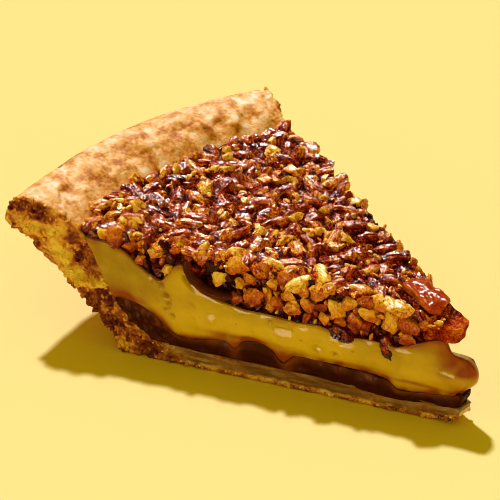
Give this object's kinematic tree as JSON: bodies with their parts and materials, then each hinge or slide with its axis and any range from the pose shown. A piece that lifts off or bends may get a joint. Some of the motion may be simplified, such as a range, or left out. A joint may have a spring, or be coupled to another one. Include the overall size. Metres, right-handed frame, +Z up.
{
  "type": "slice of chocolate pecan pie",
  "caption": "Wedge of pecan pie with a pastry crust and rim, a thin chocolate layer, a golden custard filling and a glazed topping of chopped pecans.",
  "frame": {"origin": "on the flat underside of the base, under the middle of the slice's length, halfway between its two cuts", "axes": "+X from the rim towards the tip, +Z up, +Y towards the far cut"},
  "size_m": [0.1283, 0.0968, 0.0421],
  "materials": {
    "crust": "matt, baked pastry with browned blisters and flaky cut edges",
    "chocolate": "glossy, soft dark chocolate",
    "filling": "glossy and slightly translucent, smooth golden custard",
    "pecan": "glossy, chopped pecans in a brown syrup glaze"
  },
  "bodies": {
    "root": {"crust": "crust", "chocolate_layer": "chocolate", "filling": "filling", "pecan_topping": "pecan", "chocolate_smear": "chocolate", "sunken_pecan_1": "pecan", "sunken_pecan_2": "pecan"}
  },
  "joints": []
}
